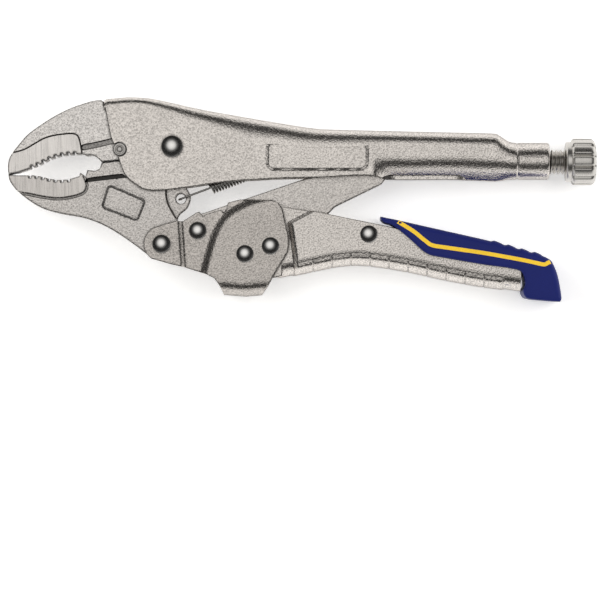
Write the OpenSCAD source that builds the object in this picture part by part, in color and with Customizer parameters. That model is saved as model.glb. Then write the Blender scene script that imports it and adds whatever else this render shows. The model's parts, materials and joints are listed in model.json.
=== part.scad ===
// Locking pliers, 10 inch, curved jaw with wire cutter, screw adjustment and lever-free release.
// The tool lies on its side. X runs from the jaw tips (-X) to the adjusting knob (+X), Y runs across the
// tool from the moving handle (-Y) to the fixed handle (+Y), and every pivot axis is parallel to Z.
// Outlines are drawn with the main pivot at the drawing's zero. stand() then puts the origin under the
// middle of the tool, on the surface that it lies on.

/* [Overall] */
// From the jaw tips to the end of the knob
tool_length = 254.3; // [253.5:0.1:256]

/* [Jaws] */
// Thickness of the forged jaws
jaw_thickness = 10.0; // [9.6:0.1:10.6]
// Distance between neighbouring teeth
tooth_pitch = 2.8; // [2.6:0.1:3.0]
// Depth of the gullets between the teeth
tooth_depth = 1.1; // [0.6:0.1:1.4]
// Thickness of the spring tab on the tail of the lower jaw
tab_thickness = 3.0; // [2:0.5:5]

/* [Sheet metal] */
// Thickness of the fixed handle's steel sheet
handle_sheet = 2.0; // [1.8:0.1:2.4]
// Thickness of the bracket's and the rear handle's steel sheet
lever_sheet = 1.8; // [1.6:0.1:2.1]
// Gap on each side between a forged jaw and the plates that hold it
side_gap = 0.1; // [0.1:0.05:0.2]

/* [Rivets] */
// Shank radius of the main rivet
main_shank_r = 4.0; // [3.5:0.1:4.2]
// Head radius of the main rivet
main_head_r = 4.6; // [4.5:0.1:5.0]
// Shank radius of the smaller rivets
rivet_shank_r = 2.9; // [2.5:0.1:3.1]
// Head radius of the smaller rivets
rivet_head_r = 3.7; // [3.6:0.1:4.0]
// Radial clearance of every running fit
fit_gap = 0.05; // [0.03:0.01:0.08]

/* [Adjusting screw] */
// Outer radius of the 7/16 inch thread
thread_r = 5.55; // [5.5:0.01:5.56]
// Pitch of the 14-turns-per-inch thread
thread_pitch = 1.814; // [1.6:0.001:2.0]
// Radius of the knob over its ridges
knob_r = 10.15; // [9:0.05:10.5]
// Number of flutes around the knob
knob_flutes = 12; // [8:1:16]
// Width across the flats of the hexagon socket in the knob
hex_flats = 6.35; // [5:0.05:8]

/* [Grip] */
// Half of the grip's width
grip_half = 10.8; // [10.4:0.1:11.0]
// Width of the inlaid stripe
stripe_width = 1.7; // [1.2:0.1:2.0]
// Depth of the inlaid stripe
stripe_depth = 0.6; // [0.4:0.1:0.9]

/* [Hidden] */
$fn = 48;

// Half widths of the layers, counted from the tool's middle plane
jaw_half = jaw_thickness / 2;
head_in = jaw_half + side_gap;
head_out = head_in + handle_sheet;
nose_in = jaw_half + side_gap;
nose_out = nose_in + lever_sheet;
waist_in = 6.7;
waist_out = waist_in + lever_sheet;
cheek_in = 8.2;
cheek_out = cheek_in + lever_sheet;
lever_out = cheek_in - side_gap;
lever_in = lever_out - lever_sheet;
tail_out = 9.5;
tail_in = tail_out - lever_sheet;
link_half = 3.4;

// The fixed handle's channel is parallel around the jaws and widens towards the tube
widen_from = 28;
widen_to = 92;
widen_by = 0.8;

// Pivot centres
main_pivot = [0, 0];
front_pivot = [-4.6, -42.1];
link_pivot = [11.1, -36.4];
release_pivot = [31.5, -46.4];
stop_centre = [42.5, -43.0];
grip_rivet_at = [84.9, -37.9];
jaw_pin_at = [-22.7, -1.2];
spring_eye = [3.6, -22.5];
spring_post_at = [54.0, -3.8];
release_pin_at = [23.6, -39.3];
screw_y = -6.4;
link_tip_x = 98.6;

// Adjusting screw stations along X
screw_start = link_tip_x + 1.6;
neck_start = 149.4;
neck_end = 163.2;
neck_r = 7.9;
knob_start = 170.2;
knob_end = -71.1 + tool_length;
collar_end = knob_start + 2.6;
screw_end = knob_end - 6.0;
socket_depth = 5.2;

release_angle = 5;
big = 200;
eps = 0.01;

// How far the small rivet heads stand proud, and the height of the middle plane when the tool lies on them
head_rise = 1.25;
pivot_height = cheek_out + head_rise;

// Middle of the whole tool in the drawing's coordinates
mid_x = (-71.1 + knob_end) / 2;
mid_y = -22.85;

// ---------- helpers ----------

// Smooth curve through a list of points, n steps from one point to the next
function bend_at(a, b, c, d, t) =
    0.5 * (2 * b + (c - a) * t + (2 * a - 5 * b + 4 * c - d) * t * t
           + (3 * b - a - 3 * c + d) * t * t * t);
function curve(p, n = 3) = concat(
    [for (i = [0 : len(p) - 2], k = [0 : n - 1])
        bend_at(p[max(i - 1, 0)], p[i], p[i + 1], p[min(i + 2, len(p) - 1)], k / n)],
    [p[len(p) - 1]]);

// Points of an arc around c
function arc(c, r, a0, a1, n = 8) =
    [for (k = [0 : n]) let (a = a0 + (a1 - a0) * k / n) c + r * [cos(a), sin(a)]];

// A band of width w around an open line of points
function turned(v) = [-v[1], v[0]] / norm(v);
function side_of(p, i, w) =
    p[i] + turned(p[min(i + 1, len(p) - 1)] - p[max(i - 1, 0)]) * w;
function band(p, w) = concat(
    [for (i = [0 : len(p) - 1]) side_of(p, i, w / 2)],
    [for (i = [len(p) - 1 : -1 : 0]) side_of(p, i, -w / 2)]);

// Puts a piece from the drawing into the tool's own frame
module stand() {
    translate([-mid_x, -mid_y, pivot_height])
        children();
}

// A plate with the given outline, between two heights
module plate(points, low, high) {
    translate([0, 0, low])
        linear_extrude(high - low)
            polygon(points);
}

// The same plate on both sides of the middle plane
module plates(points, inner, outer) {
    for (s = [0, 1])
        mirror([0, 0, s])
            plate(points, inner, outer);
}

// A hole or shaft along Z
module shaft(at, r, half) {
    translate([at[0], at[1], -half])
        cylinder(r = r, h = 2 * half);
}

// A domed rivet: its shank, and one head on each side that starts at the given half width
module rivet(at, shank_r, head_r, seat, rise) {
    dome_r = (head_r * head_r + rise * rise) / (2 * rise);
    translate([at[0], at[1], 0])
        union() {
            cylinder(r = shank_r, h = 2 * seat + 2 * eps, center = true);
            for (s = [0, 1])
                mirror([0, 0, s])
                    translate([0, 0, seat])
                        intersection() {
                            cylinder(r = head_r, h = rise);
                            translate([0, 0, rise - dome_r])
                                sphere(r = dome_r, $fn = 96);
                        }
        }
}

// ---------- outlines ----------

handle_top = curve([
    [-29.4, 19.9], [-24, 21.0], [-15, 21.4], [0, 19.0], [25, 14.0], [50, 9.7],
    [68, 7.7], [98, 6.8], [137, 6.0], [145, 4.2], [150, 2.5]]);
handle_bottom = curve([
    [150, -13.9], [142, -14.9], [120, -14.3], [88, -13.0], [72, -12.9], [45, -13.9],
    [20, -15.7], [0, -18.5], [-9, -18.9], [-16, -16.3], [-21, -11.2], [-22.4, -5.6]]);

jaw_gap_top = curve([
    [-66.5, -11.2], [-59, -8.5], [-51.5, -4.9], [-45.5, -3.6], [-38.6, -3.2]]);
jaw_gap_rear = curve([[-37.2, -3.9], [-34.2, -3.8], [-31.9, -5.3], [-30.7, -6.7]]);
jaw_gap_low = curve([
    [-66.5, -12.4], [-59, -12.5], [-52, -14.0], [-46, -14.2], [-40.4, -12.8]]);

lever_low = curve([
    [36, -58.6], [46, -56.9], [56, -54.8], [68, -51.9], [80, -51.0], [94, -52.6],
    [112, -56.2], [130, -59.7], [150.7, -62.4]]);
lever_high = curve([
    [151.0, -48.8], [130, -43.6], [110, -38.6], [92, -34.3], [77, -31.2], [63, -28.1]]);

grip_high = curve([
    [90, -30.3], [104, -33.2], [120, -36.8], [136.8, -40.7], [150, -44.0], [160, -46.6],
    [164, -49.6], [166.6, -56.5], [168.0, -65.0]]);
grip_low = curve([
    [153.7, -65.9], [151.1, -62.2], [152.2, -59.5], [151.4, -55.9], [147.5, -53.2],
    [132, -50.7], [116, -47.9], [110.5, -46.5], [104.5, -41.8], [96.4, -35.2], [90, -32.0]]);
stripe_line = curve([
    [96.6, -31.9], [104.2, -36.8], [109.0, -40.7], [112.5, -42.7], [120, -43.9], [135, -46.2],
    [150, -48.8], [159.5, -50.9], [162.5, -49.6], [163.4, -49.3]]);

// ---------- fixed handle and what it carries ----------

// Side outline of the fixed handle's plates, with the notch that clears the jaw pin
handle_side = concat(handle_top, handle_bottom, [[-22.4, 4.0], [-26.4, 4.0]]);

module fixed_handle() {
    color("silver")
        stand()
            difference() {
                union() {
                    intersection() {
                        plate(handle_side, -big / 2, big / 2);
                        handle_plan(head_out);
                    }
                    translate([neck_start, screw_y, 0])
                        rotate([0, 90, 0])
                            cylinder(r = neck_r, h = neck_end - neck_start);
                }
                handle_channel();
                handle_bore();
                for (s = [0, 1])
                    mirror([0, 0, s])
                        translate([0, 0, head_in])
                            shaft(jaw_pin_at, 3.3, handle_sheet + 1);
                shaft(main_pivot, main_shank_r + fit_gap, big / 2);
                shaft(spring_post_at, 1.5, head_in + 1.2);
            }
}

// The fixed handle's width as seen along Y, for a given half width at the jaws
module handle_plan(half) {
    wide = half + widen_by;
    rotate([90, 0, 0])
        translate([0, 0, -big / 2])
            linear_extrude(big)
                polygon([[-60, -half], [widen_from, -half], [widen_to, -wide], [big, -wide],
                         [big, wide], [widen_to, wide], [widen_from, half], [-60, half]]);
}

// The open channel between the plates, and the slot under the tube where the link comes in
module handle_channel() {
    closed_from = 96;
    slot_to = 127;
    floor_y = -12.3;
    roof = [for (p = handle_top) if (p[0] < 145.5) p - [0, handle_sheet]];
    end_x = 145.4;
    difference() {
        intersection() {
            plate(concat([[-40, 17.4]], roof, [[end_x, floor_y], [end_x, -30], [-40, -30]]),
                  -big / 2, big / 2);
            handle_plan(head_in);
        }
        translate([closed_from, -31, -big / 2])
            cube([60, 31 + floor_y, big]);
    }
    translate([closed_from - 1, -31, -link_half - 0.5])
        cube([slot_to - closed_from + 1, 31 + floor_y + 1, 2 * link_half + 1]);
}

// The threaded bore in the neck, drawn at the thread's outer radius
module handle_bore() {
    translate([140, screw_y, 0])
        rotate([0, 90, 0])
            cylinder(r = thread_r + fit_gap, h = 40);
}

upper_jaw_side = concat(
    curve([[-70.9, -12.05], [-71.1, -9.5], [-69.4, -3.0], [-62.0, 5.7], [-53.3, 11.8],
           [-44.6, 16.4], [-36.5, 19.4], [-32.0, 20.1]]),
    [[-29.5, 19.1], [-29.4, 17.3], [-8, 17.3]],
    arc([0, 0], 14.6, 118, 199, 14),
    [[-22.0, -5.75]],
    [for (i = [len(jaw_gap_rear) - 1 : -1 : 0]) jaw_gap_rear[i]],
    [for (i = [len(jaw_gap_top) - 1 : -1 : 0]) jaw_gap_top[i]]);

module upper_jaw() {
    color("gainsboro")
        stand()
            difference() {
                plate(upper_jaw_side, -head_in, head_in);
                gullets(-60.6, -8.9, 25, 3);
                gullets(-52.4, -5.1, 17, 2);
                gullets(-46.8, -3.7, 4, 3);
                shaft(jaw_pin_at, 2.2, big / 2);
            }
}

// A run of square gullets across a jaw, starting at x and y and climbing at an angle
module gullets(x, y, angle, count) {
    width = tooth_pitch * 0.42;
    translate([x, y, 0])
        rotate([0, 0, angle])
            for (k = [0 : count - 1])
                translate([k * tooth_pitch, -tooth_depth, -big / 2])
                    cube([width, 2 * tooth_depth, big]);
}

module jaw_pin() {
    color("dimgray")
        stand()
            union() {
                shaft(jaw_pin_at, 2.2, head_in);
                for (s = [0, 1])
                    mirror([0, 0, s])
                        translate([jaw_pin_at[0], jaw_pin_at[1], head_in])
                            difference() {
                                cylinder(r = 2.9, h = 1.5);
                                translate([0, 0, 1.0])
                                    difference() {
                                        cylinder(r = 2.2, h = 1);
                                        cylinder(r = 1.2, h = 1);
                                    }
                            }
            }
}

module spring_post() {
    color("dimgray")
        stand()
            shaft(spring_post_at, 1.5, head_in + 1.2);
}

// The return spring as the envelope of its coil, with a hook through the jaw's tab and one to the post
module return_spring() {
    coil_r = 3.0;
    wire_r = 0.5;
    coil_from = 13.6;
    coil_to = 46.0;
    hook_z = tab_thickness / 2 + 0.2 + wire_r;
    reach = norm(spring_post_at - spring_eye);
    aim = atan2(spring_post_at[1] - spring_eye[1], spring_post_at[0] - spring_eye[0]);
    color("dimgray")
        stand()
            translate([spring_eye[0], spring_eye[1], 0])
                rotate([0, 0, aim])
                    union() {
                        shaft([0, 0], wire_r, hook_z + wire_r);
                        rotate([0, 90, 0])
                            union() {
                                translate([0, 0, coil_from])
                                    difference() {
                                        cylinder(r = coil_r, h = coil_to - coil_from);
                                        translate([0, 0, 1])
                                            cylinder(r = coil_r - 2 * wire_r, h = coil_to - coil_from - 2);
                                    }
                                translate([-hook_z, 0, 0])
                                    cylinder(r = wire_r, h = coil_from + 0.5);
                                translate([0, 0, coil_to - 0.2])
                                    cylinder(r = wire_r, h = reach - coil_to - 1.5);
                            }
                    }
}

module main_rivet() {
    color("white")
        stand()
            rivet(main_pivot, main_shank_r, main_head_r, head_out + 0.05, 2.3);
}

// ---------- lower jaw ----------

lower_jaw_side = concat(
    [for (p = jaw_gap_low) p],
    [[-39.8, -11.2], [-37.6, -12.9], [-36.8, -10.1], [-33.4, -10.4], [-31.4, -9.4],
     [-30.6, -6.95], [-22.0, -5.95], [-14.0, -5.05]],
    arc([0, 0], 14.2, 201, -62, 24),
    curve([[6.2, -18.0], [7.9, -21.8], [6.4, -26.4], [2.8, -29.8], [1.9, -34.0]]),
    arc(front_pivot, 6.6, 20, -112, 10),
    curve([[-9.3, -48.1], [-12.1, -45.7], [-20.7, -39.4], [-29.4, -34.2], [-38, -30.9],
           [-49.0, -28.8], [-57.6, -26.0], [-66.3, -19.9], [-70.2, -15.1], [-70.95, -12.15]]));

module lower_jaw() {
    color("gainsboro")
        stand()
            difference() {
                plate(lower_jaw_side, -jaw_half, jaw_half);
                gullets(-62.2, -12.3, 0, 2);
                gullets(-56.2, -13.0, -8, 3);
                gullets(-47.6, -14.1, 4, 2);
                spring_tab_cuts();
                shaft(main_pivot, main_shank_r + fit_gap, big / 2);
                shaft(front_pivot, rivet_shank_r + fit_gap, big / 2);
                shaft(spring_eye, 2.1, big / 2);
            }
}

// The tail of the lower jaw is thinned on both sides to a tab for the spring
module spring_tab_cuts() {
    line = curve([[-2.9, -15.5], [-2.7, -22.3], [-1.2, -26.4], [1.9, -31.6]]);
    for (s = [0, 1])
        mirror([0, 0, s])
            plate(concat(line, [[20, -31.6], [20, -15.5]]), tab_thickness / 2, jaw_half + 1);
}

module front_rivet() {
    color("white")
        stand()
            rivet(front_pivot, rivet_shank_r, 3.9, nose_out + 0.05, 1.6);
}

// ---------- bracket ----------

bracket_nose = concat(
    [[4.6, -32.4], [1.8, -32.1], [-5.6, -34.3]],
    arc(front_pivot, 7.7, 96, 236, 12),
    [[-1.2, -50.7], [4.6, -52.0]]);
bracket_waist = [
    [2.6, -31.4], [10.5, -28.6], [11.8, -28.2], [13.5, -30.4], [14.4, -29.4], [20.9, -27.4],
    [22.2, -28.6], [23.5, -27.2], [24.0, -24.3], [29.2, -23.0], [33.5, -22.9], [24, -30],
    [19, -40], [16, -55.2], [4.0, -52.2]];
bracket_cheek = concat(
    curve([[43.5, -23.3], [35.7, -24.2], [28.6, -27.4], [22.6, -31.4], [19.2, -37.6],
           [17.0, -46], [15.0, -54.6]]),
    curve([[18.3, -57.0], [20.6, -60.4], [22.4, -64.2]]),
    [[31.5, -64.9], [38.7, -64.3]],
    curve([[41.2, -60.4], [45.2, -53.3], [49.6, -45.9], [50.1, -40.2], [48.7, -32.5],
           [47.2, -26.2], [43.5, -23.3]]));
bracket_floor_y = -62.4;

module bracket() {
    color("silver")
        stand()
            difference() {
                union() {
                    plates(bracket_nose, nose_in, nose_out);
                    plates(bracket_waist, waist_in, waist_out);
                    plates(bracket_cheek, cheek_in, cheek_out);
                    jog_walls();
                    bracket_web();
                    waist_web();
                }
                shaft(front_pivot, rivet_shank_r + fit_gap, big / 2);
                shaft(link_pivot, rivet_shank_r, big / 2);
                shaft(release_pivot, rivet_shank_r, big / 2);
                shaft(stop_centre, rivet_shank_r, big / 2);
            }
}

// The walls that join one width of the bracket to the next
module jog_walls() {
    plates([[2.4, -31.6], [4.8, -31.0], [6.2, -52.6], [3.6, -52.0]], nose_in, waist_out);
    plates(concat(
        curve([[43.5, -23.3], [35.7, -24.2], [28.6, -27.4], [22.6, -31.4], [19.2, -37.6],
               [17.0, -46], [15.0, -54.6]]),
        curve([[12.9, -54.4], [14.7, -45], [16.9, -36.4], [20.6, -29.8], [27.4, -25.2],
               [33.5, -22.9], [43.0, -22.9]])), waist_in, cheek_out);
}

// The bottom of the bracket's wide part
module bracket_web() {
    intersection() {
        plate(bracket_cheek, -cheek_out, cheek_out);
        translate([0, -80, -big / 2])
            cube([60, 80 + bracket_floor_y, big]);
    }
}

// The strip that joins the two sides of the bracket's waist
module waist_web() {
    plate([[5.0, -50.2], [5.0, -52.2], [15.2, -55.0], [22.4, -64.8], [26, -64.8], [18.5, -54.0]],
          -waist_out, waist_out);
}

module link_rivet() {
    color("white")
        stand()
            rivet(link_pivot, rivet_shank_r, rivet_head_r, waist_out, 1.5);
}

module release_rivet() {
    color("white")
        stand()
            rivet(release_pivot, rivet_shank_r, rivet_head_r, cheek_out, head_rise);
}

module stop_rivet() {
    color("white")
        stand()
            rivet(stop_centre, rivet_shank_r, rivet_head_r, cheek_out, head_rise);
}

// ---------- compression link ----------

link_side = concat(
    arc(link_pivot, 6.6, 109, 300, 16),
    [[19.5, -40.2], [24, -36.0], [35, -33.6], [60.5, -31.6], [66.8, -29.6], [70.4, -26.0], [90.5, -16.2]],
    arc([93.2, -6.9], 5.4, -84, 50, 8),
    [[93.0, -1.9], [89.6, -2.9]]);

module link() {
    color("silver")
        stand()
            difference() {
                union() {
                    plate(link_side, -link_half, link_half);
                    shaft(link_pivot, 5.2, waist_in - 0.2);
                }
                shaft(link_pivot, rivet_shank_r + fit_gap, big / 2);
            }
}

// ---------- rear handle and grip ----------

lever_front_side = concat(
    [[57.5, -29.6], [48.4, -26.2], [40, -33], [30.5, -36.8]],
    arc(release_pin_at, 3.2, 60, 225, 8),
    arc(release_pivot, 8.2, 215, 270, 6),
    [[36, -58.6], [46, -56.9], [57.5, -54.5]]);
tail_join_x = 54.5;
lever_tail_side = concat(
    lever_high,
    [[57.6, -29.8], [55.4, -33.0]],
    [[tail_join_x, -40], [tail_join_x - 1, -50], [tail_join_x - 3, -55.8]],
    [for (p = lever_low) if (p[0] > tail_join_x) p],
    [[151.2, -62.5]]);

module rear_handle() {
    color("silver")
        stand()
            difference() {
                union() {
                    difference() {
                        plate(lever_front_side, -lever_out, lever_out);
                        lever_front_channel();
                    }
                    difference() {
                        plate(lever_tail_side, -tail_out, tail_out);
                        lever_tail_channel();
                    }
                }
                shaft(release_pivot, rivet_shank_r + fit_gap, big / 2);
                stop_slot();
                shaft(release_pin_at, 1.6, lever_out - 1.0);
                shaft(grip_rivet_at, rivet_shank_r, big / 2);
            }
}

// The channel between the narrow front plates, open at the top and the front
module lever_front_channel() {
    plate([[10, 0], [70, 0], [70, -49.5], [57.5, -52.2], [46, -54.6], [38, -56.2], [34, -70], [10, -70]],
          -lever_in, lever_in);
}

// The channel between the wide rear plates
module lever_tail_channel() {
    floor_line = [for (p = lever_low) if (p[0] > 50) p + [0, lever_sheet]];
    plate(concat([[50, 0], [50, floor_line[0][1]]], floor_line, [[152, -60], [152, 0]]),
          -tail_in, tail_in);
}

// The slot in the front plates that lets the stop rivet pass during the release
module stop_slot() {
    for (a = [0 : release_angle / 5 : release_angle])
        translate([release_pivot[0], release_pivot[1], 0])
            rotate([0, 0, a])
                translate([stop_centre[0] - release_pivot[0], stop_centre[1] - release_pivot[1], 0])
                    cylinder(r = rivet_shank_r + 0.15, h = big, center = true);
}

module release_pin() {
    color("dimgray")
        stand()
            shaft(release_pin_at, 1.6, lever_out - 1.0);
}

module grip_rivet() {
    color("white")
        stand()
            rivet(grip_rivet_at, rivet_shank_r, rivet_head_r, tail_out, head_rise);
}

// The grip's inner tongue, which fills the channel behind the grip rivet
grip_core_side = concat(
    [for (p = lever_high) if (p[0] > 79) p - [0, 0.6]],
    [[78, -33.4], [78, -48.7]],
    [for (p = lever_low) if (p[0] > 80 && p[0] < 150) p + [0, lever_sheet]],
    [[150.4, -60.1]]);

module grip_core() {
    color("midnightblue")
        stand()
            difference() {
                plate(grip_core_side, -tail_in, tail_in);
                shaft(grip_rivet_at, rivet_shank_r, big / 2);
            }
}

grip_side = concat(grip_high, [[167.2, -67.2]], grip_low);

module grip_body() {
    color("midnightblue")
        stand()
            difference() {
                plate(grip_side, -grip_half, grip_half);
                plate(lever_tail_side, -tail_out, tail_out);
                stripe_grooves();
            }
}

module stripe_grooves() {
    plates(band(stripe_line, stripe_width), grip_half - stripe_depth, grip_half + 1);
}

module grip_stripe() {
    color("gold")
        stand()
            intersection() {
                plates(band(stripe_line, stripe_width), grip_half - stripe_depth, grip_half);
                plate(grip_side, -grip_half, grip_half);
            }
}

// ---------- adjusting screw ----------

thread_turns = floor((knob_start - screw_start - 3) / thread_pitch);
thread_depth = 1.0;
tip_length = 1.6;
root_r = thread_r - thread_depth;
thread_profile = concat(
    [[0, screw_start], [3.2, screw_start]],
    [for (k = [0 : thread_turns - 1], s = [0, 1])
        [root_r + thread_depth * s, screw_start + tip_length + (k + s / 2) * thread_pitch]],
    [[root_r, screw_start + tip_length + thread_turns * thread_pitch], [root_r, screw_end], [0, screw_end]]);

module adjusting_screw() {
    color("lightgray")
        stand()
            translate([0, screw_y, 0])
                rotate([0, 90, 0])
                    rotate_extrude($fn = 64)
                        polygon(thread_profile);
}

module screw_knob() {
    flute_r = 1.5;
    edge = 1.2;
    color("silver")
        stand()
            translate([0, screw_y, 0])
                rotate([0, 90, 0])
                    difference() {
                        rotate_extrude($fn = 96)
                            polygon([
                                [0, knob_start], [8.2, knob_start], [8.7, knob_start + 0.5],
                                [8.7, collar_end], [knob_r - 0.4, collar_end], [knob_r, collar_end + 0.4],
                                [knob_r, knob_end - edge], [knob_r - edge, knob_end], [0, knob_end]]);
                        translate([0, 0, knob_start - 1])
                            cylinder(r = root_r + fit_gap, h = screw_end - knob_start + 1.2);
                        translate([0, 0, knob_end - socket_depth])
                            cylinder(r = hex_flats / 2 / cos(30), h = socket_depth + 1, $fn = 6);
                        for (k = [0 : knob_flutes - 1])
                            rotate([0, 0, k * 360 / knob_flutes])
                                translate([knob_r + 0.5, 0, collar_end + 0.8])
                                    cylinder(r = flute_r, h = 20);
                    }
}

fixed_handle();
upper_jaw();
jaw_pin();
spring_post();
return_spring();
main_rivet();
lower_jaw();
front_rivet();
bracket();
link_rivet();
release_rivet();
stop_rivet();
link();
rear_handle();
release_pin();
grip_rivet();
grip_core();
grip_body();
grip_stripe();
adjusting_screw();
screw_knob();
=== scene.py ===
"""Locking pliers lying on a pale studio floor, seen square from above.

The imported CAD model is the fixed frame. Every shape below is drawn in millimetres around the main
pivot, in the plane of the tool, and put() moves it to the pivot's place in the frame.
"""
import json
import math

import bpy
import numpy as np
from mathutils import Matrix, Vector
from mathutils.geometry import delaunay_2d_cdt


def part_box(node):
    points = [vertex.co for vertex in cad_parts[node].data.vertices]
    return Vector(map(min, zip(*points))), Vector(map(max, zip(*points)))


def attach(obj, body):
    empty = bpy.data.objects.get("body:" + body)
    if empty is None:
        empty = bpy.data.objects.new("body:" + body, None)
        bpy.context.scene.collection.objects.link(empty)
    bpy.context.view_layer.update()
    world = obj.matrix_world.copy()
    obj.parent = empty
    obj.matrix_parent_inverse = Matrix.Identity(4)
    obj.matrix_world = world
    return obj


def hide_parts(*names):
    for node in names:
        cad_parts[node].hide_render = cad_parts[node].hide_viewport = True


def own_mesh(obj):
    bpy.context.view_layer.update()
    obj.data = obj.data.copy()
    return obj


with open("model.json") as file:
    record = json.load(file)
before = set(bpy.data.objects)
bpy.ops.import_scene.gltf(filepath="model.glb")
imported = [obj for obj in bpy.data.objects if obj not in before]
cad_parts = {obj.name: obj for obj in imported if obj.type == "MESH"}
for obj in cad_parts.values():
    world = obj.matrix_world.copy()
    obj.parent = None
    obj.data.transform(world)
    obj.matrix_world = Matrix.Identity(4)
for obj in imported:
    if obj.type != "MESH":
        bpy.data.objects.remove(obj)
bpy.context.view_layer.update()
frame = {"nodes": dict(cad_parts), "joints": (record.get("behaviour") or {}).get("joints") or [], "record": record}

MM = 0.001
joints = {j["name"]: j for j in frame["joints"]}
MAIN = Vector(joints["jaw_open"]["pos_m"])


# ---------- what the frame says ----------

def pivot(joint):
    """A hinge's place in the drawing."""
    at = (Vector(joints[joint]["pos_m"]) - MAIN) / MM
    return at.x, at.y


def span(node):
    """The lowest and highest corner of a CAD node in the drawing."""
    low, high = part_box(node)
    return (low - MAIN) / MM, (high - MAIN) / MM


def depths(node, x_from=-300.0, x_to=300.0):
    """How far from the middle plane a CAD node's vertices lie, over a stretch of X."""
    points = [(v.co - MAIN) / MM for v in frame["nodes"][node].data.vertices]
    return [abs(p.z) for p in points if x_from <= p.x <= x_to]


def middle(node):
    """The middle of a CAD node in the drawing's plane."""
    low, high = span(node)
    return (low.x + high.x) / 2, (low.y + high.y) / 2


HEAD = max(depths("fixed_handle", -25, 20))
TUBE = max(depths("fixed_handle", 95, 140))
SHEET = HEAD - min(depths("fixed_handle", -25, -23))
JAW = max(depths("lower_jaw"))
UPPER = max(depths("upper_jaw"))
NOSE = max(depths("bracket", -13, -5))
WAIST = max(depths("bracket", 8, 12))
CHEEK = max(depths("bracket"))
LEVER = max(depths("rear_handle", 20, 36))
TAIL = max(depths("rear_handle"))
LEVER_SHEET = CHEEK - LEVER - 0.1
LINK = max(depths("link", 40, 98))
GRIP = max(depths("grip_body"))

TIP_X = span("upper_jaw")[0].x
NECK_END = span("fixed_handle")[1].x
KNOB_X, KNOB_END = span("screw_knob")[0].x, span("screw_knob")[1].x
KNOB_R = (span("screw_knob")[1].y - span("screw_knob")[0].y) / 2
SCREW_Y = (span("screw_knob")[1].y + span("screw_knob")[0].y) / 2
SCREW_X = span("adjusting_screw")[0].x
THREAD_R = (span("adjusting_screw")[1].y - span("adjusting_screw")[0].y) / 2
PITCH = 2 * math.pi / next(
    c["ratio"] for c in frame["record"]["behaviour"]["couplings"] if c["joint"] == "knob_turn") / MM


# ---------- lines and curves in the drawing's plane ----------

def smooth(points, steps=6):
    """A smooth open curve through the points."""
    p = np.array(points, float)
    ends = np.vstack([2 * p[0] - p[1], p, 2 * p[-1] - p[-2]])
    out = []
    for k in range(len(p) - 1):
        a, b, c, d = ends[k:k + 4]
        for t in np.arange(steps) / steps:
            out.append(0.5 * (2 * b + (c - a) * t + (2 * a - 5 * b + 4 * c - d) * t ** 2
                              + (3 * b - a - 3 * c + d) * t ** 3))
    return np.array(out + [p[-1]])


def arc(centre, radius, start, end, steps=16):
    """Points of an arc, in degrees."""
    a = np.radians(np.linspace(start, end, steps + 1))
    return np.stack([centre[0] + radius * np.cos(a), centre[1] + radius * np.sin(a)], 1)


def joined(*lines):
    return np.vstack([np.array(line, float) for line in lines])


def evenly(line, gap, closed=False):
    """The same line with extra points, so that none is further than gap from the next."""
    p = np.array(line, float)
    if closed:
        p = np.vstack([p, p[:1]])
    out = []
    for a, b in zip(p[:-1], p[1:]):
        n = max(1, int(math.ceil(np.linalg.norm(b - a) / gap)))
        out += [a + (b - a) * k / n for k in range(n)]
    return np.array(out if closed else out + [p[-1]])


def height_of(line):
    """A line that runs along X, as a function of x."""
    p = np.array(line, float)
    p = p[np.argsort(p[:, 0], kind="stable")]
    return lambda x: np.interp(x, p[:, 0], p[:, 1])


def step_up(t):
    t = np.clip(t, 0, 1)
    return t * t * (3 - 2 * t)


def nearest(points, line):
    """Distance from each point to a line, and the side it is on: 1 to the left, -1 to the right."""
    p, line = np.asarray(points, float), np.asarray(line, float)
    a, ab = line[:-1], np.diff(line, axis=0)
    keep = (ab ** 2).sum(1) > 1e-12
    a, ab = a[keep], ab[keep]
    far, side = np.full(len(p), 1e9), np.ones(len(p))
    for first in range(0, len(p), 4000):
        q = p[first:first + 4000, None, :] - a[None]
        t = np.clip((q * ab).sum(2) / (ab ** 2).sum(1), 0, 1)
        gap = q - t[..., None] * ab
        d = (gap ** 2).sum(2)
        best = d.argmin(1)
        rows = np.arange(len(best))
        far[first:first + 4000] = np.sqrt(d[rows, best])
        cross = ab[best, 0] * q[rows, best, 1] - ab[best, 1] * q[rows, best, 0]
        side[first:first + 4000] = np.where(cross >= 0, 1.0, -1.0)
    return far, side


def inside(points, loop):
    """Which points lie inside a closed loop."""
    p, a = np.asarray(points, float), np.asarray(loop, float)
    b = np.roll(a, -1, axis=0)
    out = np.zeros(len(p), bool)
    for (ax, ay), (bx, by) in zip(a, b):
        if ay == by:
            continue
        crosses = (ay > p[:, 1]) != (by > p[:, 1])
        out ^= crosses & (p[:, 0] < (bx - ax) * (p[:, 1] - ay) / (by - ay) + ax)
    return out


def closed(loop):
    return np.vstack([loop, loop[:1]])


def left_of(way):
    """Unit vectors to the left of each direction."""
    return np.stack([-way[:, 1], way[:, 0]], 1) / np.linalg.norm(way, axis=1)[:, None]


def rounding(distance, radius):
    """How far a rounded edge falls below its face, by the distance from the edge."""
    inner = np.clip(radius - distance, 0, radius)
    return radius - np.sqrt(np.maximum(radius ** 2 - inner ** 2, 0))


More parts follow.
